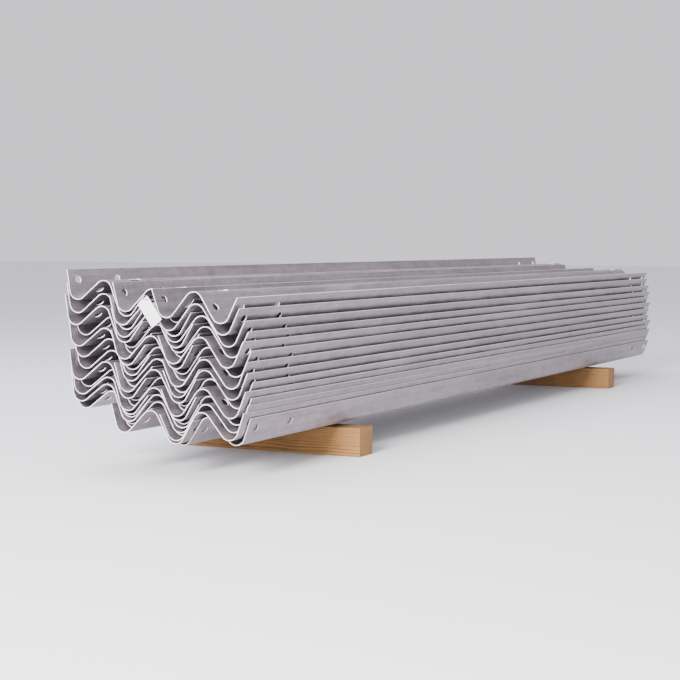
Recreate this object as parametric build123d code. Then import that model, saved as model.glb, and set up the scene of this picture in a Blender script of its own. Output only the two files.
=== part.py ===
from build123d import *

import math
import os

# A bundle of two-wave guardrail rails, nested crests down on two timber bearers.
# Millimetres. X runs along the rails, Y across them, Z up from the ground under the bearers.
# The near end is the one at low X. Seen from there, the left column of rails is at high Y.

# One rail
rail_length = 4320.0
rail_width = 310.0
rail_depth = 90.0
sheet = 3.0
wave_pitch = 194.0
inner_slope = 53.0
outer_slope = 66.5

# Punched slots of one rail
splice_slot_length = 29.0
splice_slot_width = 23.0
splice_end_distance = 50.0
splice_spacing = 216.0
post_slot_length = 65.0
post_slot_width = 20.0

# Only the topmost rail has true round bends. Those under it are drawn with flats
flat_angle = 20.0
slot_flats = 5

# How the rails lie in the bundle. A roll lifts the high Y edge, and changes from the lowest layer to the top.
# The phase angles, in radians, make the small play of rolls and ends vary from one rail to the next
layers = 13
column_spacing = 190.0
left_roll_angle = 17.0
left_roll_angle_change = -2.0
middle_roll_angle = 7.0
middle_roll_angle_change = 1.5
right_roll_angle = -3.5
right_roll_angle_change = 7.0
roll_angle_play = 0.7
roll_phase_angle = 1.7
roll_start_angle = 0.6
seat_reach = 8.0
seat_step = 0.5
reach_rail_count = 6
end_play = 24.0
end_phase_angle = 2.9
top_lean = 60.0
rest_gap = 0.3
chord_angle = 3.0

# Timber bearers
bearer_width = 100.0
bearer_height = 100.0
bearer_overhang = 40.0
bearer_inset = 760.0
bearer_arris = 4.0

# Blank tag at the near end, and the wire that hooks it to the topmost rail
tag_width = 45.0
tag_length = 90.0
tag_thickness = 0.8
tag_corner = 3.0
tag_lean = 53.0
tag_offset = 28.0
tag_rail_count = 9
tag_hole = 6.0
tag_hole_edge = 9.0
wire_diameter = 2.0
wire_end = 12.0

# Shape of the rail's middle line, worked out from the sizes above
inner = math.radians(inner_slope)
outer = math.radians(outer_slope)
half_pitch = wave_pitch / 2
line_depth = rail_depth - sheet
bend_radius = (half_pitch * math.sin(inner) - line_depth * math.cos(inner)) / (2 * (1 - math.cos(inner)))
inner_run = (half_pitch - 2 * bend_radius * math.sin(inner)) / math.cos(inner)
outer_reach = rail_width / 2 - sheet / 2 * math.sin(outer) - half_pitch - bend_radius * math.sin(outer)
outer_run = outer_reach / math.cos(outer)
peak_centre = sheet / 2 + line_depth - bend_radius
trough_centre = sheet / 2 + bend_radius


def on_circle(centre_y, centre_z, radius, angle):
    """Point of a circle, its angle counted from straight up and growing towards high Y."""
    return (centre_y + radius * math.sin(angle), centre_z + radius * math.cos(angle))


def half_line(offset, step):
    """Half of the section from the middle peak to the edge, moved off its middle line by offset."""
    peak_radius = bend_radius + offset
    trough_radius = bend_radius - offset
    peak_steps = max(1, math.ceil(inner / step))
    points = [on_circle(0, peak_centre, peak_radius, inner * k / peak_steps) for k in range(peak_steps + 1)]
    turn = inner + outer
    trough_steps = max(1, math.ceil(turn / step))
    for k in range(trough_steps + 1):
        angle = math.pi + inner - turn * k / trough_steps
        points.append(on_circle(half_pitch, trough_centre, trough_radius, angle))
    last_y, last_z = points[-1]
    points.append((last_y + outer_run * math.cos(outer), last_z + outer_run * math.sin(outer)))
    return points


def section_points(offset, step):
    """The whole section as points from the low Y edge to the high Y edge."""
    half = half_line(offset, step)
    return [(-y, z) for y, z in half[:0:-1]] + half


def section_edges(offset):
    """The same line as true lines and arcs, from the low Y edge to the high Y edge."""
    right = half_line(offset, math.pi)
    left = [(-y, z) for y, z in right[:0:-1]]
    corners = left + right
    tip_l, trough_l1, trough_l0, peak_l, crown, peak_r, trough_r0, trough_r1, tip_r = corners
    floor = trough_centre - (bend_radius - offset)
    return [
        Line(tip_l, trough_l1),
        ThreePointArc(trough_l1, (-half_pitch, floor), trough_l0),
        Line(trough_l0, peak_l),
        ThreePointArc(peak_l, crown, peak_r),
        Line(peak_r, trough_r0),
        ThreePointArc(trough_r0, (half_pitch, floor), trough_r1),
        Line(trough_r1, tip_r),
    ]


def flat_slot(length, width):
    """Slot outline with each round end drawn as flats."""
    points = []
    for end in (1, -1):
        for k in range(slot_flats + 1):
            angle = math.pi * (k / slot_flats - 0.5)
            x = (length - width) / 2 + width / 2 * math.cos(angle)
            points.append((end * x, end * width / 2 * math.sin(angle)))
    return Polygon(*points, align=None)


def slot_cutter(outline, x, y, z, slope):
    """Slot through the sheet at a point where the sheet slopes by that many radians."""
    place = Plane(origin=(x, y, z), x_dir=(1, 0, 0), z_dir=(0, -math.sin(slope), math.cos(slope)))
    return extrude(place * outline, amount=2 * sheet, both=True)


def flank_middles():
    """Middle of each straight flank that is punched, with its slope, on the high Y side."""
    peak_y, peak_z = on_circle(0, peak_centre, bend_radius, inner)
    inner_y = peak_y + inner_run / 2 * math.cos(inner)
    inner_z = peak_z - inner_run / 2 * math.sin(inner)
    edge_y, edge_z = on_circle(half_pitch, trough_centre, bend_radius, math.pi - outer)
    outer_y = edge_y + outer_run / 2 * math.cos(outer)
    outer_z = edge_z + outer_run / 2 * math.sin(outer)
    return [(inner_y, inner_z, -inner), (outer_y, outer_z, outer)]


def rolled_sheet(upper, lower):
    """One rail before punching, its middle at X 0 and the undersides of its waves at Z 0."""
    tips = [Line(lower[0] @ 0, upper[0] @ 0), Line(lower[-1] @ 1, upper[-1] @ 1)]
    section = make_face(Wire(upper + lower + tips))
    return Pos(-rail_length / 2, 0, 0) * extrude(Plane.YZ * section, amount=rail_length)


def flat_edges(offset):
    """The same line with its bends drawn as flats."""
    points = section_points(offset, math.radians(flat_angle))
    return [Line(start, end) for start, end in zip(points, points[1:])]


def punched(rail, splice_outline, post_outline):
    """The rail with its splice slots in all four flanks and a post slot in its middle, at both ends."""
    cutters = []
    for end in (-1, 1):
        for distance in (splice_end_distance, splice_end_distance + splice_spacing):
            x = end * (rail_length / 2 - distance)
            for y, z, slope in flank_middles():
                cutters.append(slot_cutter(splice_outline, x, y, z, slope))
                cutters.append(slot_cutter(splice_outline, x, -y, z, -slope))
        x = end * (rail_length / 2 - splice_end_distance - splice_spacing / 2)
        cutters.append(slot_cutter(post_outline, x, 0, sheet / 2 + line_depth, 0))
    return rail - cutters


def turned(points, roll):
    """Points of the section after the rail rolls, its high Y side going up."""
    c = math.cos(math.radians(roll))
    s = math.sin(math.radians(roll))
    return [(y * c - z * s, y * s + z * c) for y, z in points]


def chains(roll, side, step):
    """Upper and lower outlines of a rolled rail, both closed round its cut edges."""
    upper = section_points(sheet / 2, step)
    lower = section_points(-sheet / 2, step)
    top = turned([lower[0]] + upper + [lower[-1]], roll)
    under = turned([upper[0]] + lower + [upper[-1]], roll)
    return [(y + side, z) for y, z in top], [(y + side, z) for y, z in under]


def height_at(chain, y, pick):
    """Height of an outline at Y, its highest or lowest where it doubles back."""
    found = []
    for (y0, z0), (y1, z1) in zip(chain, chain[1:]):
        if min(y0, y1) <= y <= max(y0, y1):
            share = 0.0 if y1 == y0 else (y - y0) / (y1 - y0)
            found.append(z0 + share * (z1 - z0))
    return pick(found) if found else None


def lift_over(top, under):
    """How far an underside has to rise above a top side until they touch without crossing."""
    lifts = []
    for y, _ in top + under:
        below = height_at(top, y, max)
        above = height_at(under, y, min)
        if below is not None and above is not None:
            lifts.append(below - above)
    return max(lifts) if lifts else None


def seat(placed, side, roll, step):
    """Where a rail comes to lie lowest when it may slide a little sideways: its Y, Z and upper outline."""
    found = []
    tries = math.floor(seat_reach / seat_step)
    for k in range(-tries, tries + 1):
        y = side + k * seat_step
        top, under = chains(roll, y, step)
        height = bearer_height + rest_gap - min(z for _, z in under)
        for other in placed[-reach_rail_count:]:
            lift = lift_over(other["top"], under)
            if lift is not None:
                height = max(height, other["z"] + lift + rest_gap)
        found.append((height, abs(k), y, top))
    height, _, y, top = min(found, key=lambda place: place[:2])
    return y, height, top


def nest():
    """Place of every rail, from the lowest up: name, X of its middle, Y, Z and roll."""
    columns = {
        "left": (column_spacing, left_roll_angle, left_roll_angle_change),
        "middle": (0.0, middle_roll_angle, middle_roll_angle_change),
        "right": (-column_spacing, right_roll_angle, right_roll_angle_change),
    }
    order = ["right", "middle"] + ["left", "right", "middle"] * (layers - 1) + ["right"]
    counts = dict.fromkeys(columns, 0)
    placed = []
    for k, column in enumerate(order):
        side, roll, change = columns[column]
        share = k / (len(order) - 1)
        roll += change * share + roll_angle_play * math.sin(roll_phase_angle * k + roll_start_angle)
        step = chord_angle if k == len(order) - 1 else flat_angle
        y, z, top = seat(placed, side, roll, math.radians(step))
        counts[column] += 1
        placed.append(
            {
                "name": f"rail_{column}_{counts[column]:02d}",
                "roll": roll,
                "x": end_play * math.cos(end_phase_angle * k) - top_lean * share**3,
                "y": y,
                "z": z,
                "top": top,
            }
        )
    middle = (max(rail["x"] for rail in placed) + min(rail["x"] for rail in placed)) / 2
    for rail in placed:
        rail["x"] -= middle
    return placed


def bearer(x):
    """Sawn timber across the underside, its long edges eased."""
    length = 2 * column_spacing + rail_width + 2 * bearer_overhang
    timber = Pos(x, 0, bearer_height / 2) * Box(bearer_width, length, bearer_height)
    return chamfer(timber.edges().filter_by(Axis.Y), bearer_arris)


def tie_slot(rail):
    """Middle of the splice slot nearest the near end in a rail's high Y edge, and the slope there."""
    y, z, slope = flank_middles()[1]
    (turned_y, turned_z), = turned([(y, z)], rail["roll"])
    x = rail["x"] - rail_length / 2 + splice_end_distance
    return x, rail["y"] + turned_y, rail["z"] + turned_z, slope + math.radians(rail["roll"])


def tag_face(rails):
    """X of the tag's back, with room for the wire before the end that sticks out most in the top layers."""
    return min(rail["x"] for rail in rails[-tag_rail_count:]) - rail_length / 2 - 2 * rest_gap - wire_diameter


def tag(rails):
    """Blank card that leans across the rail ends, its hole level with the slot that it is tied to."""
    _, slot_y, slot_z, _ = tie_slot(rails[-1])
    lean = math.radians(tag_lean)
    hole = (tag_face(rails), slot_y + tag_offset, slot_z)
    place = Plane(origin=hole, x_dir=(0, -math.cos(lean), -math.sin(lean)), z_dir=(-1, 0, 0))
    along = tag_length / 2 - tag_hole_edge
    across = tag_width / 2 - tag_hole_edge
    card = Pos(along, -across) * RectangleRounded(tag_length, tag_width, tag_corner)
    return extrude(place * (card - Circle(tag_hole / 2)), amount=tag_thickness)


def tag_wire(rails):
    """Wire bent over in front of the tag, led level behind it to the rail and hooked into the slot."""
    slot_x, slot_y, slot_z, slope = tie_slot(rails[-1])
    back = tag_face(rails)
    room = wire_diameter / 2 + rest_gap
    front = back - tag_thickness - room
    hole_y = slot_y + tag_offset
    flank_y = slot_y - sheet / 2 / math.sin(slope) - room
    route = [
        (front, hole_y + wire_end),
        (front, hole_y),
        (back + room, hole_y),
        (back + room, flank_y),
        (slot_x, flank_y),
        (slot_x, slot_y),
    ]
    path = Polyline(*[(x, y, slot_z) for x, y in route])
    start = Plane(origin=path @ 0, z_dir=path % 0)
    return sweep(start * Circle(wire_diameter / 2), path=path, transition=Transition.RIGHT)


os.makedirs("parts", exist_ok=True)

rails = nest()
flat_rail = rolled_sheet(flat_edges(sheet / 2), flat_edges(-sheet / 2))
round_rail = rolled_sheet(section_edges(sheet / 2), section_edges(-sheet / 2))
splice_slot = SlotOverall(splice_slot_length, splice_slot_width)
post_slot = SlotOverall(post_slot_length, post_slot_width)
flat_splice_slot = flat_slot(splice_slot_length, splice_slot_width)
flat_post_slot = flat_slot(post_slot_length, post_slot_width)
topmost_rail = punched(round_rail, splice_slot, post_slot)
open_rail = punched(flat_rail, flat_splice_slot, flat_post_slot)

bodies = [flat_rail] * len(rails)
bodies[0] = bodies[-4] = bodies[-2] = open_rail
bodies[-1] = topmost_rail
for rail, body in zip(rails, bodies):
    placed_rail = Pos(rail["x"], rail["y"], rail["z"]) * Rot(X=rail["roll"]) * body
    export_step(placed_rail, f"parts/{rail['name']}.step")
export_step(bearer(bearer_inset - rail_length / 2), "parts/bearer_near.step")
export_step(bearer(rail_length / 2 - bearer_inset), "parts/bearer_far.step")
export_step(tag(rails), "parts/tag.step")
export_step(tag_wire(rails), "parts/tag_wire.step")
for rail in rails:
    print(rail["name"], round(rail["x"], 1), round(rail["y"], 1), round(rail["z"], 1), round(rail["roll"], 1))
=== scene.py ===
import math

import bmesh
import bpy
from mathutils import Matrix, Vector, noise


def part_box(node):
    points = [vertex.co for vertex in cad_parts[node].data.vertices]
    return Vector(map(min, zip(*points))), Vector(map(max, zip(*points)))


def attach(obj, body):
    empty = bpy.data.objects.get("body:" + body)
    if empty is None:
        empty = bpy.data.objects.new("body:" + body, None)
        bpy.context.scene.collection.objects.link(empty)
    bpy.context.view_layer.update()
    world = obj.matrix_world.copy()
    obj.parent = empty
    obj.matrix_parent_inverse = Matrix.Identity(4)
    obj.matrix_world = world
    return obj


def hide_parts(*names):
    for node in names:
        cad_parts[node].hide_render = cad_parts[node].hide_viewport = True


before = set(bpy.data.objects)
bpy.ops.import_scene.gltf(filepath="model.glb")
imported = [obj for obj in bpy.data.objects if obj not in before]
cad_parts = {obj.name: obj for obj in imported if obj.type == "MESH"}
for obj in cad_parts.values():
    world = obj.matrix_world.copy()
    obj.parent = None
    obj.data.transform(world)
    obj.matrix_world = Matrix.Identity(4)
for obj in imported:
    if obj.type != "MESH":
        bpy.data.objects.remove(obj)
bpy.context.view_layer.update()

# Sizes of one rail, in metres, the same as in the CAD
RAIL_LENGTH = 4.320
RAIL_WIDTH = 0.310
RAIL_DEPTH = 0.090
SHEET = 0.003
WAVE_PITCH = 0.194
INNER_SLOPE = math.radians(53.0)
OUTER_SLOPE = math.radians(66.5)
SPLICE_SLOT = (0.029, 0.023)
SPLICE_FROM_END = 0.050
SPLICE_SPACING = 0.216
POST_SLOT = (0.065, 0.020)
EASED_EDGE = 0.0004
SLOT_FLARE = 0.0009
SLOT_SIDES = 28

# The timber bearers
BEARER_ARRIS = 0.004
SAW_WANDER = 0.0011
END_WANDER = 0.0009
TOP_WANDER = 0.0006

# The tag and its wire. The card's curl and bow grow with the square of the distance from its middle
TAG_LENGTH = 0.090
TAG_WIDTH = 0.045
TAG_THICKNESS = 0.0008
TAG_CORNER = 0.003
TAG_HOLE = 0.006
TAG_HOLE_EDGE = 0.009
TAG_LEAN = math.radians(53)
TAG_CURL = 0.65
TAG_BOW = 0.2
WIRE_END = 0.012
REST_GAP = 0.0003

# Worked out from the sizes of the rail
HALF_PITCH = WAVE_PITCH / 2
LINE_DEPTH = RAIL_DEPTH - SHEET
BEND_RADIUS = (HALF_PITCH * math.sin(INNER_SLOPE) - LINE_DEPTH * math.cos(INNER_SLOPE)) / (
    2 * (1 - math.cos(INNER_SLOPE)))
INNER_RUN = (HALF_PITCH - 2 * BEND_RADIUS * math.sin(INNER_SLOPE)) / math.cos(INNER_SLOPE)
OUTER_RUN = (RAIL_WIDTH / 2 - SHEET / 2 * math.sin(OUTER_SLOPE) - HALF_PITCH
             - BEND_RADIUS * math.sin(OUTER_SLOPE)) / math.cos(OUTER_SLOPE)
PEAK_CENTRE = SHEET / 2 + LINE_DEPTH - BEND_RADIUS
TROUGH_CENTRE = SHEET / 2 + BEND_RADIUS
CORNER_HEIGHT = (TROUGH_CENTRE - (BEND_RADIUS + SHEET / 2) * math.cos(OUTER_SLOPE)
                 + OUTER_RUN * math.sin(OUTER_SLOPE))
BEND_STEP = math.radians(4.5)
MERGE = 1e-5


def mesh_object(name, bm, materials):
    """A new object from a bmesh, at the origin."""
    mesh = bpy.data.meshes.new(name)
    bm.to_mesh(mesh)
    bm.free()
    obj = bpy.data.objects.new(name, mesh)
    bpy.context.scene.collection.objects.link(obj)
    for material in materials:
        mesh.materials.append(material)
    return obj


def finished_mesh(obj):
    """The object's mesh with its modifiers worked in. The object itself goes."""
    graph = bpy.context.evaluated_depsgraph_get()
    mesh = bpy.data.meshes.new_from_object(obj.evaluated_get(graph))
    bpy.data.objects.remove(obj)
    return mesh


def from_mesh(mesh):
    bm = bmesh.new()
    bm.from_mesh(mesh)
    return bm


def carved(obj, operation, tool):
    """The object's mesh cut by a tool, which goes too."""
    cut = obj.modifiers.new("cut", "BOOLEAN")
    cut.operation = operation
    cut.solver = "EXACT"
    cut.object = tool
    mesh = finished_mesh(obj)
    bpy.data.objects.remove(tool)
    return mesh


def smooth_but_sharp(mesh, angle):
    mesh.shade_smooth()
    mesh.set_sharp_from_angle(angle=math.radians(angle))


def bend(bm, vert, centre_y, centre_z, angle):
    """Carries the sheet's line round a bend and gives its last vertex."""
    steps = max(2, round(abs(angle) / BEND_STEP))
    out = bmesh.ops.spin(bm, geom=[vert], cent=(vert.co.x, centre_y, centre_z), axis=(1, 0, 0),
                         dvec=(0, 0, 0), angle=angle, steps=steps, use_duplicate=False)
    return [g for g in out["geom_last"] if isinstance(g, bmesh.types.BMVert)][0]


def run(bm, vert, slope, length):
    """Carries the line straight on and gives its last vertex."""
    out = bmesh.ops.extrude_vert_indiv(bm, verts=[vert])
    last = out["verts"][0]
    last.co.y += length * math.cos(slope)
    last.co.z += length * math.sin(slope)
    return last


def sheet_surface():
    """Middle surface of a rail, bent from its middle crest outwards, mirrored, then drawn out along X."""
    bm = bmesh.new()
    crest = bm.verts.new((-RAIL_LENGTH / 2, 0, PEAK_CENTRE + BEND_RADIUS))
    vert = bend(bm, crest, 0, PEAK_CENTRE, -INNER_SLOPE)
    vert = run(bm, vert, -INNER_SLOPE, INNER_RUN)
    vert = bend(bm, vert, HALF_PITCH, TROUGH_CENTRE, INNER_SLOPE + OUTER_SLOPE)
    run(bm, vert, OUTER_SLOPE, OUTER_RUN)
    bmesh.ops.mirror(bm, geom=bm.verts[:] + bm.edges[:], axis="Y", merge_dist=MERGE)
    bmesh.ops.remove_doubles(bm, verts=bm.verts, dist=MERGE)
    edges = bm.edges[:]
    spans = 6
    for _ in range(spans):
        out = bmesh.ops.extrude_edge_only(bm, edges=edges)
        moved = [g for g in out["geom"] if isinstance(g, bmesh.types.BMVert)]
        edges = [g for g in out["geom"] if isinstance(g, bmesh.types.BMEdge)]
        bmesh.ops.translate(bm, verts=moved, vec=(RAIL_LENGTH / spans, 0, 0))
    bmesh.ops.recalc_face_normals(bm, faces=bm.faces)
    return bm


def slot_plug(bm, place, size):
    """Adds a rounded plug with flared mouths, which cuts one slot with eased edges."""
    length, width = size
    reach = SHEET / 2 + 0.0005
    flared = 1 + 2 * SLOT_FLARE / width
    foot = Matrix.Translation((0, 0, -reach)) @ Matrix.Rotation(math.pi / SLOT_SIDES, 4, "Z")
    plug = bmesh.new()
    bmesh.ops.create_circle(plug, cap_ends=True, segments=SLOT_SIDES, radius=width / 2, matrix=foot)
    rim = plug.verts[:]
    bottom = plug.faces[:]
    for rise, scale in ((SLOT_FLARE, 1.0), (2 * (reach - SLOT_FLARE), 1.0), (SLOT_FLARE, flared)):
        top = max(plug.faces, key=lambda f: f.calc_center_median().z)
        out = bmesh.ops.extrude_face_region(plug, geom=[top])
        moved = [g for g in out["geom"] if isinstance(g, bmesh.types.BMVert)]
        bmesh.ops.translate(plug, verts=moved, vec=(0, 0, rise))
        bmesh.ops.scale(plug, verts=moved, vec=(scale, scale, 1))
        if top not in bottom:
            bmesh.ops.delete(plug, geom=[top], context="FACES_ONLY")
    bmesh.ops.scale(plug, verts=rim, vec=(flared, flared, 1))
    for vert in plug.verts:
        vert.co.x += math.copysign((length - width) / 2, vert.co.x)
    bmesh.ops.recalc_face_normals(plug, faces=plug.faces)
    plug.transform(place)
    part = bpy.data.meshes.new("plug")
    plug.to_mesh(part)
    plug.free()
    bm.from_mesh(part)
    bpy.data.meshes.remove(part)


def slot_plugs():
    """Every slot of a rail: eight splice slots and a post slot at each end."""
    bm = bmesh.new()
    peak_y = BEND_RADIUS * math.sin(INNER_SLOPE)
    peak_z = PEAK_CENTRE + BEND_RADIUS * math.cos(INNER_SLOPE)
    edge_y = HALF_PITCH + BEND_RADIUS * math.sin(OUTER_SLOPE)
    edge_z = TROUGH_CENTRE - BEND_RADIUS * math.cos(OUTER_SLOPE)
    starts = ((peak_y, peak_z, INNER_RUN, -INNER_SLOPE), (edge_y, edge_z, OUTER_RUN, OUTER_SLOPE))
    flanks = []
    for y, z, length, slope in starts:
        flanks.append((y + length / 2 * math.cos(slope), z + length / 2 * math.sin(slope), slope))
    for end in (-1, 1):
        for distance in (SPLICE_FROM_END, SPLICE_FROM_END + SPLICE_SPACING):
            x = end * (RAIL_LENGTH / 2 - distance)
            for y, z, slope in flanks:
                for side in (-1, 1):
                    place = Matrix.Translation((x, side * y, z)) @ Matrix.Rotation(side * slope, 4, "X")
                    slot_plug(bm, place, SPLICE_SLOT)
        x = end * (RAIL_LENGTH / 2 - SPLICE_FROM_END - SPLICE_SPACING / 2)
        slot_plug(bm, Matrix.Translation((x, 0, PEAK_CENTRE + BEND_RADIUS)), POST_SLOT)
    return bm


def rail_mesh():
    """One rail with its wall, eased edges and slots, its middle at the origin."""
    zinc = (sheet_zinc, cut_zinc_painted_highlight, lip_zinc_painted_highlight)
    face_slot, cut_slot, lip_slot = range(len(zinc))
    sheet = mesh_object("sheet", sheet_surface(), zinc)
    wall = sheet.modifiers.new("wall", "SOLIDIFY")
    wall.thickness = SHEET
    wall.offset = 0
    wall.use_even_offset = True
    wall.material_offset_rim = cut_slot
    bm = from_mesh(finished_mesh(sheet))
    bmesh.ops.recalc_face_normals(bm, faces=bm.faces)
    rim = [e for e in bm.edges if len({f.material_index for f in e.link_faces}) > 1]
    bmesh.ops.bevel(bm, geom=rim, offset=EASED_EDGE, segments=1, profile=0.5, affect="EDGES", material=-1)
    # The long rims and their eased edges become the lips, painted light grey as a painted highlight along
    # every edge.
    for face in bm.faces:
        if face.material_index != face_slot and abs(face.normal.x) < 0.5:
            face.material_index = lip_slot
    plugs = mesh_object("plugs", slot_plugs(), zinc)
    # The slot walls take the cut ends' material, so they carry its painted highlight.
    for face in plugs.data.polygons:
        face.material_index = cut_slot
    mesh = carved(mesh_object("solid", bm, zinc), "DIFFERENCE", plugs)
    smooth_but_sharp(mesh, 24)
    return mesh


def rail_place(node):
    """Where a CAD rail lies: its middle and its roll, read from the outer corners of its near end."""
    verts = [v.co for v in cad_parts[node].data.vertices]
    low = min(v.x for v in verts)
    end = {(round(v.y, 6), round(v.z, 6)) for v in verts if v.x < low + MERGE}
    right, left = sorted(max(((a, b) for a in end for b in end), key=lambda pair: math.dist(*pair)))
    roll = math.atan2(left[1] - right[1], left[0] - right[0])
    y = (left[0] + right[0]) / 2 + CORNER_HEIGHT * math.sin(roll)
    z = (left[1] + right[1]) / 2 - CORNER_HEIGHT * math.cos(roll)
    return Matrix.Translation((low + RAIL_LENGTH / 2, y, z)) @ Matrix.Rotation(roll, 4, "X")


def new_group(name, amounts, outputs):
    """An empty node group with a Vector input, an input for each amount, and colour outputs."""
    group = bpy.data.node_groups.new(name, "ShaderNodeTree")
    group.interface.new_socket(name="Vector", in_out="INPUT", socket_type="NodeSocketVector")
    for amount in amounts:
        socket = group.interface.new_socket(name=amount, in_out="INPUT", socket_type="NodeSocketFloat")
        socket.default_value = 1.0
    for output in outputs:
        group.interface.new_socket(name=output, in_out="OUTPUT", socket_type="NodeSocketColor")
    inlet = group.nodes.new("NodeGroupInput").outputs
    outlet = group.nodes.new("NodeGroupOutput").inputs
    return group, group.nodes, group.links, inlet, outlet


def place_group(nodes, links, group, vector, **amounts):
    """Puts a node group into a material with its own amounts."""
    node = nodes.new("ShaderNodeGroup")
    node.node_tree = group
    links.new(vector, node.inputs["Vector"])
    for name, amount in amounts.items():
        node.inputs[name].default_value = amount
    return node.outputs


def new_material(name):
    material = bpy.data.materials.new(name)
    material.use_nodes = True
    nodes = material.node_tree.nodes
    return material, nodes, material.node_tree.links, nodes["Principled BSDF"]


def object_coords(nodes, links, centre=(0, 0, 0)):
    """Object coordinates counted from a centre."""
    source = nodes.new("ShaderNodeTexCoord")
    mapping = nodes.new("ShaderNodeMapping")
    mapping.inputs["Location"].default_value = [-c for c in centre]
    links.new(source.outputs["Object"], mapping.inputs["Vector"])
    return mapping.outputs["Vector"]


def stretched(nodes, links, vector, scale):
    mapping = nodes.new("ShaderNodeMapping")
    mapping.inputs["Scale"].default_value = scale
    links.new(vector, mapping.inputs["Vector"])
    return mapping.outputs["Vector"]


def opaque(color):
    """A grey or a colour with its alpha."""
    return (color, color, color, 1) if isinstance(color, (int, float)) else (*color, 1)


def ramp(nodes, links, value, *stops):
    """Colours over a value. A stop is a position and a grey or a colour."""
    node = nodes.new("ShaderNodeValToRGB")
    while len(node.color_ramp.elements) < len(stops):
        node.color_ramp.elements.new(0.5)
    for element, (position, color) in zip(node.color_ramp.elements, stops):
        element.position = position
        element.color = opaque(color)
    links.new(value, node.inputs["Fac"])
    return node.outputs["Color"]


def cloud(nodes, links, vector, scale, detail, rough):
    node = nodes.new("ShaderNodeTexNoise")
    node.inputs["Scale"].default_value = scale
    node.inputs["Detail"].default_value = detail
    node.inputs["Roughness"].default_value = rough
    links.new(vector, node.inputs["Vector"])
    return node.outputs["Fac"]


def mix(nodes, links, factor, a, b, blend="MIX"):
    """Mixes two colours. Each input is a socket, a grey or a colour."""
    node = nodes.new("ShaderNodeMix")
    node.data_type = "RGBA"
    node.blend_type = blend
    for socket, value in (("Factor", factor), (6, a), (7, b)):
        target = node.inputs[socket]
        if isinstance(value, bpy.types.NodeSocket):
            links.new(value, target)
        elif socket == "Factor":
            target.default_value = value
        else:
            target.default_value = opaque(value)
    return node.outputs[2]


def shaded(nodes, links, color, mask, low, high):
    """The colour darkened to low or lightened to high by a mask."""
    return mix(nodes, links, 1.0, color, mix(nodes, links, mask, low, high), "MULTIPLY")


def bump(nodes, links, height, distance, strength, normal=None):
    node = nodes.new("ShaderNodeBump")
    node.inputs["Strength"].default_value = strength
    node.inputs["Distance"].default_value = distance
    links.new(height, node.inputs["Height"])
    if normal is not None:
        links.new(normal, node.inputs["Normal"])
    return node.outputs["Normal"]


def weather_group():
    """Yard dust and damp, for every surface that stands outdoors: broad dirt and fine dark specks."""
    group, nodes, links, inlet, outlet = new_group(
        "weather", ("Dirt Amount", "Speck Amount"), ("Dirt", "Specks"))
    broad = ramp(nodes, links, cloud(nodes, links, inlet["Vector"], 6, 8, 0.68), (0.44, 0), (0.66, 1))
    links.new(mix(nodes, links, inlet["Dirt Amount"], 0, broad), outlet["Dirt"])
    fine = ramp(nodes, links, cloud(nodes, links, inlet["Vector"], 130, 5, 0.75), (0.55, 0), (0.72, 1))
    links.new(mix(nodes, links, inlet["Speck Amount"], 0, fine), outlet["Specks"])
    return group


def zinc_group():
    """Hot-dip zinc: spangle grains, streaks along the rolling direction, dull bloom and fine scratches."""
    group, nodes, links, inlet, outlet = new_group(
        "hot_dip_zinc", ("Bloom Amount", "Scratch Amount"),
        ("Tone", "Spangle", "Streaks", "Bloom", "Scratches"))
    vector = inlet["Vector"]
    broad = cloud(nodes, links, stretched(nodes, links, vector, (0.4, 2.0, 5.0)), 1.9, 6, 0.62)
    mottle = cloud(nodes, links, stretched(nodes, links, vector, (0.6, 1, 1)), 34, 5, 0.7)
    links.new(mix(nodes, links, 0.45, ramp(nodes, links, broad, (0.34, 0), (0.64, 1)),
                  ramp(nodes, links, mottle, (0.38, 0), (0.62, 1))), outlet["Tone"])
    grains = []
    for scale in (85, 240):
        cells = nodes.new("ShaderNodeTexVoronoi")
        cells.inputs["Scale"].default_value = scale
        links.new(stretched(nodes, links, vector, (0.8, 1, 1)), cells.inputs["Vector"])
        shades = nodes.new("ShaderNodeSeparateColor")
        links.new(cells.outputs["Color"], shades.inputs["Color"])
        grains.append(ramp(nodes, links, shades.outputs["Red"], (0.05, 0), (0.95, 1)))
    links.new(mix(nodes, links, 0.5, *grains), outlet["Spangle"])
    thin = cloud(nodes, links, stretched(nodes, links, vector, (0.9, 75, 75)), 1.0, 5, 0.66)
    wide = cloud(nodes, links, stretched(nodes, links, vector, (0.35, 22, 22)), 1.0, 4, 0.6)
    links.new(mix(nodes, links, 0.5, ramp(nodes, links, thin, (0.34, 0), (0.66, 1)),
                  ramp(nodes, links, wide, (0.36, 0), (0.64, 1))), outlet["Streaks"])
    bloom = cloud(nodes, links, stretched(nodes, links, vector, (0.3, 1.6, 2.0)), 9, 10, 0.72)
    links.new(mix(nodes, links, inlet["Bloom Amount"], 0, ramp(nodes, links, bloom, (0.50, 0), (0.66, 1))),
              outlet["Bloom"])
    hair = cloud(nodes, links, stretched(nodes, links, vector, (1.6, 420, 420)), 1.0, 2, 0.5)
    broken = cloud(nodes, links, stretched(nodes, links, vector, (1, 2, 2)), 7, 2, 0.5)
    lines = mix(nodes, links, 1.0, ramp(nodes, links, hair, (0.68, 0), (0.72, 1)),
                ramp(nodes, links, broken, (0.5, 0), (0.6, 1)), "MULTIPLY")
    links.new(mix(nodes, links, inlet["Scratch Amount"], 0, lines), outlet["Scratches"])
    return group


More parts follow.
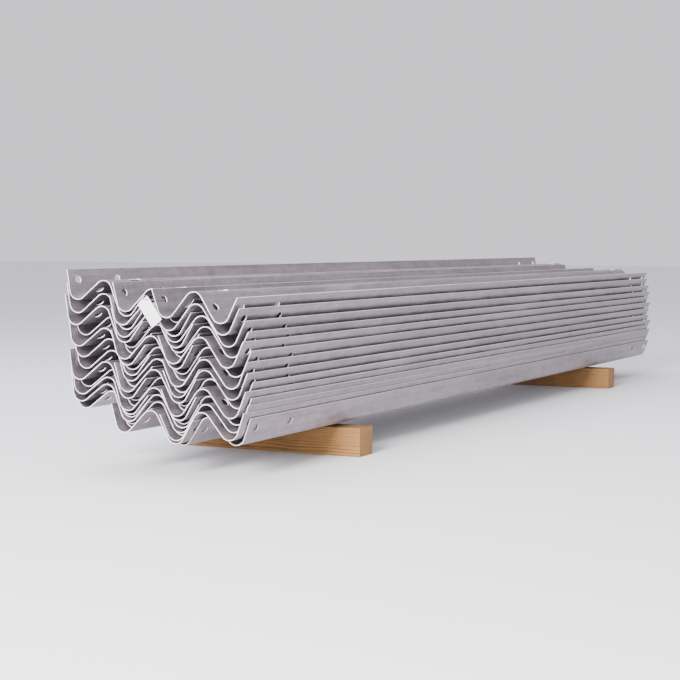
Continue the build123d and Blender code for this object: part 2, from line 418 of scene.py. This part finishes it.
def softwood_group():
    """Sawn softwood round a pith along Y: growth rings, fibres, knots and the marks of the saw."""
    group, nodes, links, inlet, outlet = new_group(
        "sawn_softwood", ("Knot Amount",), ("Rings", "Fibres", "Knots", "Saw Marks"))
    vector = inlet["Vector"]
    rings = nodes.new("ShaderNodeTexWave")
    rings.wave_type = "RINGS"
    rings.rings_direction = "Y"
    rings.inputs["Scale"].default_value = 62
    rings.inputs["Distortion"].default_value = 8
    rings.inputs["Detail"].default_value = 4
    rings.inputs["Detail Scale"].default_value = 0.5
    links.new(stretched(nodes, links, vector, (1, 0.08, 1)), rings.inputs["Vector"])
    links.new(ramp(nodes, links, rings.outputs["Fac"], (0.7, 0), (0.97, 1)), outlet["Rings"])
    fibre = cloud(nodes, links, stretched(nodes, links, vector, (1, 0.035, 1)), 300, 4, 0.7)
    links.new(ramp(nodes, links, fibre, (0.3, 0), (0.7, 1)), outlet["Fibres"])
    knots = nodes.new("ShaderNodeTexVoronoi")
    knots.inputs["Scale"].default_value = 6.5
    links.new(stretched(nodes, links, vector, (1, 0.55, 1)), knots.inputs["Vector"])
    eyes = ramp(nodes, links, knots.outputs["Distance"],
                (0.045, 0.75), (0.06, 0.35), (0.075, 0.9), (0.09, 0.2), (0.15, 0))
    links.new(mix(nodes, links, inlet["Knot Amount"], 0, eyes), outlet["Knots"])
    saw = nodes.new("ShaderNodeTexWave")
    saw.bands_direction = "Y"
    saw.inputs["Scale"].default_value = 75
    saw.inputs["Distortion"].default_value = 3
    saw.inputs["Detail"].default_value = 3
    links.new(stretched(nodes, links, vector, (0.25, 1, 0.12)), saw.inputs["Vector"])
    links.new(saw.outputs["Color"], outlet["Saw Marks"])
    return group


weather = weather_group()
hot_dip_zinc = zinc_group()
sawn_softwood = softwood_group()


def rail_coords(nodes, links):
    """A rail's own coordinates, moved on by its number so that no two rails carry the same pattern."""
    own = nodes.new("ShaderNodeAttribute")
    own.attribute_name = "own_place"
    number = nodes.new("ShaderNodeAttribute")
    number.attribute_name = "rail_number"
    shift = nodes.new("ShaderNodeVectorMath")
    shift.operation = "MULTIPLY_ADD"
    shift.inputs[1].default_value = (1.713, 0.617, 0.391)
    links.new(number.outputs["Vector"], shift.inputs[0])
    links.new(own.outputs["Vector"], shift.inputs[2])
    return shift.outputs["Vector"], number.outputs["Fac"]


def zinc_finish(nodes, links, shader, vector, dark, light, bloom, rough):
    """Zinc colour, gloss and bump. Gives the colour for what lies on it."""
    zinc = place_group(nodes, links, hot_dip_zinc, vector, **{"Bloom Amount": 0.5, "Scratch Amount": 0.6})
    color = mix(nodes, links, zinc["Tone"], dark, light)
    color = shaded(nodes, links, color, zinc["Spangle"], 0.85, 1.12)
    color = shaded(nodes, links, color, zinc["Streaks"], 0.77, 1.14)
    color = mix(nodes, links, zinc["Bloom"], color, bloom)
    color = mix(nodes, links, zinc["Scratches"], color, bloom)
    gloss = mix(nodes, links, zinc["Spangle"], rough - 0.1, rough + 0.08)
    gloss = mix(nodes, links, zinc["Bloom"], gloss, rough + 0.4)
    links.new(gloss, shader.inputs["Roughness"])
    waves = cloud(nodes, links, stretched(nodes, links, vector, (0.35, 1, 1)), 16, 3, 0.5)
    grain = cloud(nodes, links, vector, 380, 5, 0.7)
    normal = bump(nodes, links, waves, 0.004, 0.3)
    normal = bump(nodes, links, zinc["Streaks"], 0.0003, 0.35, normal)
    normal = bump(nodes, links, grain, 0.0004, 0.4, normal)
    links.new(normal, shader.inputs["Normal"])
    return color


def galvanised_sheet():
    """The rails' faces: dull zinc, each rail a little lighter or darker, with yard dust on what faces up."""
    material, nodes, links, shader = new_material("galvanised_sheet")
    vector, number = rail_coords(nodes, links)
    color = zinc_finish(nodes, links, shader, vector, dark=(0.152, 0.129, 0.148), light=(0.295, 0.256, 0.286),
                        bloom=(0.40, 0.364, 0.394), rough=0.4)
    batch = nodes.new("ShaderNodeTexWhiteNoise")
    batch.noise_dimensions = "1D"
    links.new(number, batch.inputs["W"])
    color = shaded(nodes, links, color, batch.outputs["Value"], 0.9, 1.07)
    outdoor = place_group(nodes, links, weather, stretched(nodes, links, vector, (0.3, 1.4, 1.4)),
                          **{"Dirt Amount": 0.2, "Speck Amount": 0.18})
    color = mix(nodes, links, outdoor["Dirt"], color, (0.36, 0.30, 0.27))
    facing = nodes.new("ShaderNodeNewGeometry")
    parts = nodes.new("ShaderNodeSeparateXYZ")
    links.new(facing.outputs["Normal"], parts.inputs["Vector"])
    settled = mix(nodes, links, 1.0, ramp(nodes, links, parts.outputs["Z"], (0.55, 0), (0.97, 1)),
                  outdoor["Dirt"], "MULTIPLY")
    color = mix(nodes, links, settled, color, (0.50, 0.44, 0.38))
    color = mix(nodes, links, outdoor["Specks"], color, (0.24, 0.22, 0.22))
    links.new(color, shader.inputs["Base Color"])
    shader.inputs["Metallic"].default_value = 0.55
    return material


def galvanised_edges_painted_highlight(name, dark, light):
    """The sheet's edges, brighter than its faces: this brightness is a painted highlight of the lamps on the
    edges.
    """
    material, nodes, links, shader = new_material(name)
    vector, _ = rail_coords(nodes, links)
    color = zinc_finish(nodes, links, shader, vector, dark, light, bloom=light, rough=0.45)
    outdoor = place_group(nodes, links, weather, vector, **{"Dirt Amount": 0.25, "Speck Amount": 0.2})
    color = mix(nodes, links, outdoor["Dirt"], color, (0.40, 0.35, 0.32))
    color = mix(nodes, links, outdoor["Specks"], color, (0.30, 0.28, 0.27))
    links.new(color, shader.inputs["Base Color"])
    shader.inputs["Metallic"].default_value = 0.2
    return material


def tie_wire():
    """Soft zinc-coated wire, brighter than the rails."""
    material, nodes, links, shader = new_material("tie_wire")
    vector = object_coords(nodes, links)
    color = zinc_finish(nodes, links, shader, vector, dark=(0.50, 0.50, 0.52), light=(0.66, 0.66, 0.68),
                        bloom=(0.74, 0.74, 0.75), rough=0.3)
    links.new(color, shader.inputs["Base Color"])
    shader.inputs["Metallic"].default_value = 0.9
    return material


def sawn_timber(name, pith, early, late, weathered):
    """Sawn softwood whose rings lie round its pith."""
    material, nodes, links, shader = new_material(name)
    vector = object_coords(nodes, links, (pith[0], 0, pith[1]))
    wood = place_group(nodes, links, sawn_softwood, vector, **{"Knot Amount": 1.0})
    color = mix(nodes, links, wood["Rings"], early, late)
    color = shaded(nodes, links, color, wood["Fibres"], 0.84, 1.08)
    color = mix(nodes, links, wood["Knots"], color, late)
    outdoor = place_group(nodes, links, weather, vector, **{"Dirt Amount": 0.55, "Speck Amount": 0.5})
    color = mix(nodes, links, outdoor["Dirt"], color, weathered)
    color = mix(nodes, links, outdoor["Specks"], color, late)
    links.new(color, shader.inputs["Base Color"])
    shader.inputs["Roughness"].default_value = 0.86
    normal = bump(nodes, links, wood["Saw Marks"], 0.0007, 0.55)
    normal = bump(nodes, links, wood["Fibres"], 0.0012, 0.7, normal)
    normal = bump(nodes, links, wood["Rings"], 0.0005, 0.5, normal)
    links.new(normal, shader.inputs["Normal"])
    return material


def blank_card():
    """Blank coated card with soft dust and creases."""
    material, nodes, links, shader = new_material("blank_card")
    vector = object_coords(nodes, links)
    outdoor = place_group(nodes, links, weather, stretched(nodes, links, vector, (3, 3, 3)),
                          **{"Dirt Amount": 0.28, "Speck Amount": 0.2})
    color = mix(nodes, links, outdoor["Dirt"], (0.74, 0.74, 0.755), (0.52, 0.48, 0.44))
    color = mix(nodes, links, outdoor["Specks"], color, (0.5, 0.48, 0.46))
    links.new(color, shader.inputs["Base Color"])
    shader.inputs["Roughness"].default_value = 0.5
    crease = cloud(nodes, links, vector, 45, 2, 0.4)
    pulp = cloud(nodes, links, vector, 900, 3, 0.6)
    normal = bump(nodes, links, crease, 0.0015, 0.4)
    links.new(bump(nodes, links, pulp, 0.0001, 0.4, normal), shader.inputs["Normal"])
    return material


sheet_zinc = galvanised_sheet()
# Painted highlight: the cut ends and the slot walls are painted near-white, as if the key light strikes them.
cut_zinc_painted_highlight = galvanised_edges_painted_highlight("galvanised_cut_ends_painted_highlight", (0.80, 0.785, 0.81), (0.93, 0.915, 0.94))
# Painted highlight: the lips are painted much lighter than the faces, as if lit along their edges.
lip_zinc_painted_highlight = galvanised_edges_painted_highlight("galvanised_lips_painted_highlight", (0.60, 0.58, 0.60), (0.76, 0.74, 0.76))
wire_zinc = tie_wire()
card = blank_card()
near_timber = sawn_timber("sawn_timber_near", (-1.372, -0.018), early=(0.30, 0.150, 0.042),
                          late=(0.155, 0.067, 0.020), weathered=(0.115, 0.073, 0.041))
far_timber = sawn_timber("sawn_timber_far", (1.43, 0.125), early=(0.29, 0.146, 0.046),
                         late=(0.15, 0.065, 0.020), weathered=(0.115, 0.076, 0.045))


def place_piece(name, mesh, node):
    """Adds a finished piece that stands for a CAD node and rides on the bundle."""
    piece = bpy.data.objects.new(name, mesh)
    bpy.context.scene.collection.objects.link(piece)
    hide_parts(node)
    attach(piece, "root")


rail_nodes = sorted(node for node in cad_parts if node.startswith("rail_"))
one_rail = rail_mesh()
own_place = one_rail.attributes.new("own_place", "FLOAT_VECTOR", "POINT")
for vert in one_rail.vertices:
    own_place.data[vert.index].vector = vert.co
for number, node in enumerate(rail_nodes):
    mesh = one_rail.copy()
    rail_number = mesh.attributes.new("rail_number", "FLOAT", "POINT")
    rail_number.data.foreach_set("value", [float(number)] * len(mesh.vertices))
    mesh.transform(rail_place(node))
    place_piece("formed_" + node, mesh, node)


def bearer(name, node, timber, cracks):
    """A rough sawn bearer with eased edges, faces that wander a little, and drying cracks in its ends."""
    low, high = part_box(node)
    middle, size = (low + high) / 2, high - low
    bm = bmesh.new()
    bmesh.ops.create_cube(bm, size=1)
    bmesh.ops.scale(bm, verts=bm.verts, vec=size)
    along = [e for e in bm.edges if abs(e.verts[0].co.y - e.verts[1].co.y) > size.y / 2]
    bmesh.ops.bevel(bm, geom=along, offset=BEARER_ARRIS, segments=3, profile=0.5, affect="EDGES", material=-1)
    for axis, parts in ((0, 6), (1, 60), (2, 6)):
        for k in range(1, parts):
            cut, normal = Vector(), Vector()
            cut[axis] = size[axis] * (k / parts - 0.5)
            normal[axis] = 1
            everything = bm.verts[:] + bm.edges[:] + bm.faces[:]
            bmesh.ops.bisect_plane(bm, geom=everything, plane_co=cut, plane_no=normal)
    for vert in bm.verts:
        x, y, z = vert.co
        sunk = 0.5 + 0.5 * noise.noise(Vector((x * 22, y * 9, z * 22)) + middle * 3)
        if abs(y) > size.y / 2 - 0.001:
            vert.co.y -= math.copysign(END_WANDER * sunk, y)
        if z > 0.001 - size.z / 2 and abs(x) > SAW_WANDER:
            vert.co.x -= math.copysign(SAW_WANDER * sunk, x)
        if z > size.z / 2 - 0.001:
            vert.co.z -= TOP_WANDER * sunk
    bm.transform(Matrix.Translation(middle))
    block = mesh_object("block", bm, (timber,))
    splits = bmesh.new()
    for end, x, z, turn, width, reach, depth in cracks:
        start = middle + Vector((x, end * (size.y / 2 - depth / 2 + 0.001), z))
        aim = Matrix.Rotation(turn, 4, "Y") @ Matrix.Rotation(end * math.pi / 2, 4, "X")
        thin = Matrix.Diagonal((width / reach, 1, 1, 1))
        bmesh.ops.create_cone(splits, cap_ends=True, segments=4, radius1=reach, radius2=0.0002, depth=depth,
                              matrix=Matrix.Translation(start) @ aim @ thin)
    mesh = carved(block, "DIFFERENCE", mesh_object("splits", splits, (timber,)))
    smooth_but_sharp(mesh, 32)
    place_piece(name, mesh, node)


# Each crack has its end, its place across and up, its turn, width, reach to each side and depth
bearer("sawn_bearer_near", "bearer_near", near_timber, (
    (-1, 0.012, 0.010, 0.5, 0.0012, 0.026, 0.05), (-1, -0.020, -0.012, -0.9, 0.0009, 0.020, 0.04),
    (-1, 0.026, -0.022, 1.9, 0.0008, 0.014, 0.03), (1, -0.005, 0.016, 0.2, 0.0012, 0.028, 0.05),
    (1, 0.018, -0.018, 1.2, 0.0009, 0.018, 0.04)))
bearer("sawn_bearer_far", "bearer_far", far_timber, (
    (-1, -0.010, 0.018, -0.4, 0.0012, 0.024, 0.05), (-1, 0.022, -0.006, 1.0, 0.0009, 0.019, 0.04),
    (1, 0.008, -0.010, 0.7, 0.0012, 0.027, 0.05), (1, -0.024, 0.012, -1.1, 0.0008, 0.016, 0.03)))


def hanging_tag():
    """The blank card, curling a little away from the rail ends towards its low end."""
    low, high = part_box("tag")
    middle = (low + high) / 2
    bm = bmesh.new()
    bmesh.ops.create_grid(bm, x_segments=36, y_segments=18, size=0.5)
    bmesh.ops.scale(bm, verts=bm.verts, vec=(TAG_LENGTH + 0.004, TAG_WIDTH + 0.004, 1))
    for vert in bm.verts:
        vert.co.z = TAG_CURL * max(0.0, vert.co.x) ** 2 + TAG_BOW * vert.co.y ** 2
    sheet = mesh_object("sheet", bm, (card,))
    thick = sheet.modifiers.new("thickness", "SOLIDIFY")
    thick.thickness = TAG_THICKNESS
    thick.offset = -1
    outline = bmesh.new()
    bmesh.ops.create_cube(outline, size=1)
    bmesh.ops.scale(outline, verts=outline.verts, vec=(TAG_LENGTH, TAG_WIDTH, 0.02))
    corners = [e for e in outline.edges if abs(e.verts[0].co.z - e.verts[1].co.z) > 0.01]
    bmesh.ops.bevel(outline, geom=corners, offset=TAG_CORNER, segments=5, profile=0.5, affect="EDGES",
                    material=-1)
    trimmed = carved(sheet, "INTERSECT", mesh_object("outline", outline, (card,)))
    hole = bmesh.new()
    corner = Matrix.Translation((TAG_HOLE_EDGE - TAG_LENGTH / 2, TAG_WIDTH / 2 - TAG_HOLE_EDGE, 0))
    bmesh.ops.create_cone(hole, cap_ends=True, segments=32, radius1=TAG_HOLE / 2, radius2=TAG_HOLE / 2,
                          depth=0.02, matrix=corner)
    mesh = carved(mesh_object("trimmed", from_mesh(trimmed), (card,)), "DIFFERENCE",
                  mesh_object("hole", hole, (card,)))
    down = Vector((0, -math.cos(TAG_LEAN), -math.sin(TAG_LEAN)))
    out = Vector((-1, 0, 0))
    turn = Matrix((down, out.cross(down), out)).transposed().to_4x4()
    mesh.transform(Matrix.Translation((high.x - TAG_THICKNESS, middle.y, middle.z)) @ turn)
    smooth_but_sharp(mesh, 30)
    place_piece("hanging_tag", mesh, "tag")


hanging_tag()


def tie():
    """The wire that hooks the tag to the rail, smooth through its bends."""
    low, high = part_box("tag_wire")
    back_of_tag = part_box("tag")[1].x
    radius = (high.z - low.z) / 2
    z = (low.z + high.z) / 2
    front, back, end = low.x + radius, back_of_tag + radius + REST_GAP, high.x - radius
    tail, flank = high.y, low.y + radius
    hole = tail - WIRE_END
    route = ((front, tail), (front, hole + 0.003), (front, hole), (back, hole), (back, hole - 0.003),
             (back, flank + 0.004), (back, flank), (back + 0.004, flank), (end - 0.004, flank), (end, flank),
             (end, flank + 0.003))
    curve = bpy.data.curves.new("wire", "CURVE")
    curve.dimensions = "3D"
    curve.bevel_depth = radius * 0.96
    curve.bevel_resolution = 4
    curve.resolution_u = 10
    curve.use_fill_caps = True
    line = curve.splines.new("NURBS")
    line.points.add(len(route) - 1)
    for point, (x, y) in zip(line.points, route):
        point.co = (x, y, z, 1)
    line.order_u = 3
    line.use_endpoint_u = True
    wire = bpy.data.objects.new("wire", curve)
    bpy.context.scene.collection.objects.link(wire)
    mesh = finished_mesh(wire)
    mesh.materials.clear()
    mesh.materials.append(wire_zinc)
    place_piece("tie", mesh, "tag_wire")


tie()

# The studio: a pale floor, soft light, and a camera that looks as the photograph does
floor_bm = bmesh.new()
bmesh.ops.create_grid(floor_bm, x_segments=1, y_segments=1, size=40)
floor_paint, nodes, links, shader = new_material("floor_paint")
shader.inputs["Base Color"].default_value = (0.83, 0.83, 0.84, 1)
shader.inputs["Roughness"].default_value = 0.9
floor = mesh_object("floor", floor_bm, (floor_paint,))

world = bpy.data.worlds.new("pale")
world.use_nodes = True
world.node_tree.nodes["Background"].inputs["Color"].default_value = (0.93, 0.93, 0.98, 1)
world.node_tree.nodes["Background"].inputs["Strength"].default_value = 1.1
bpy.context.scene.world = world


def softbox(name, place, aim, size, power, color):
    light = bpy.data.lights.new(name, "AREA")
    light.size = size
    light.energy = power
    light.color = color
    obj = bpy.data.objects.new(name, light)
    bpy.context.scene.collection.objects.link(obj)
    obj.location = place
    obj.rotation_euler = (Vector(aim) - Vector(place)).to_track_quat("-Z", "Y").to_euler()


softbox("key", (-9.5, -1.0, 3.5), (-2.0, 0, 0.3), 2.5, 2450, (1.0, 0.955, 0.955))
softbox("front", (-8.5, -3.2, 0.9), (-2.0, 0, 0.35), 2.0, 380, (0.84, 0.87, 1.0))
softbox("overhead", (-1.0, 1.5, 5.5), (0, 0, 0.4), 5.0, 300, (0.82, 0.83, 1.0))
softbox("side", (0.5, -7.5, 1.6), (0, 0, 0.2), 4.0, 75, (1.0, 0.93, 0.94))

camera_data = bpy.data.cameras.new("camera")
camera_data.lens = 82.0
camera = bpy.data.objects.new("camera", camera_data)
bpy.context.scene.collection.objects.link(camera)
camera.location = (-6.18, -2.75, 0.74)
aim = Vector((-0.02, 0.43, 0.30))
camera.rotation_euler = (aim - camera.location).to_track_quat("-Z", "Y").to_euler()
bpy.context.scene.camera = camera
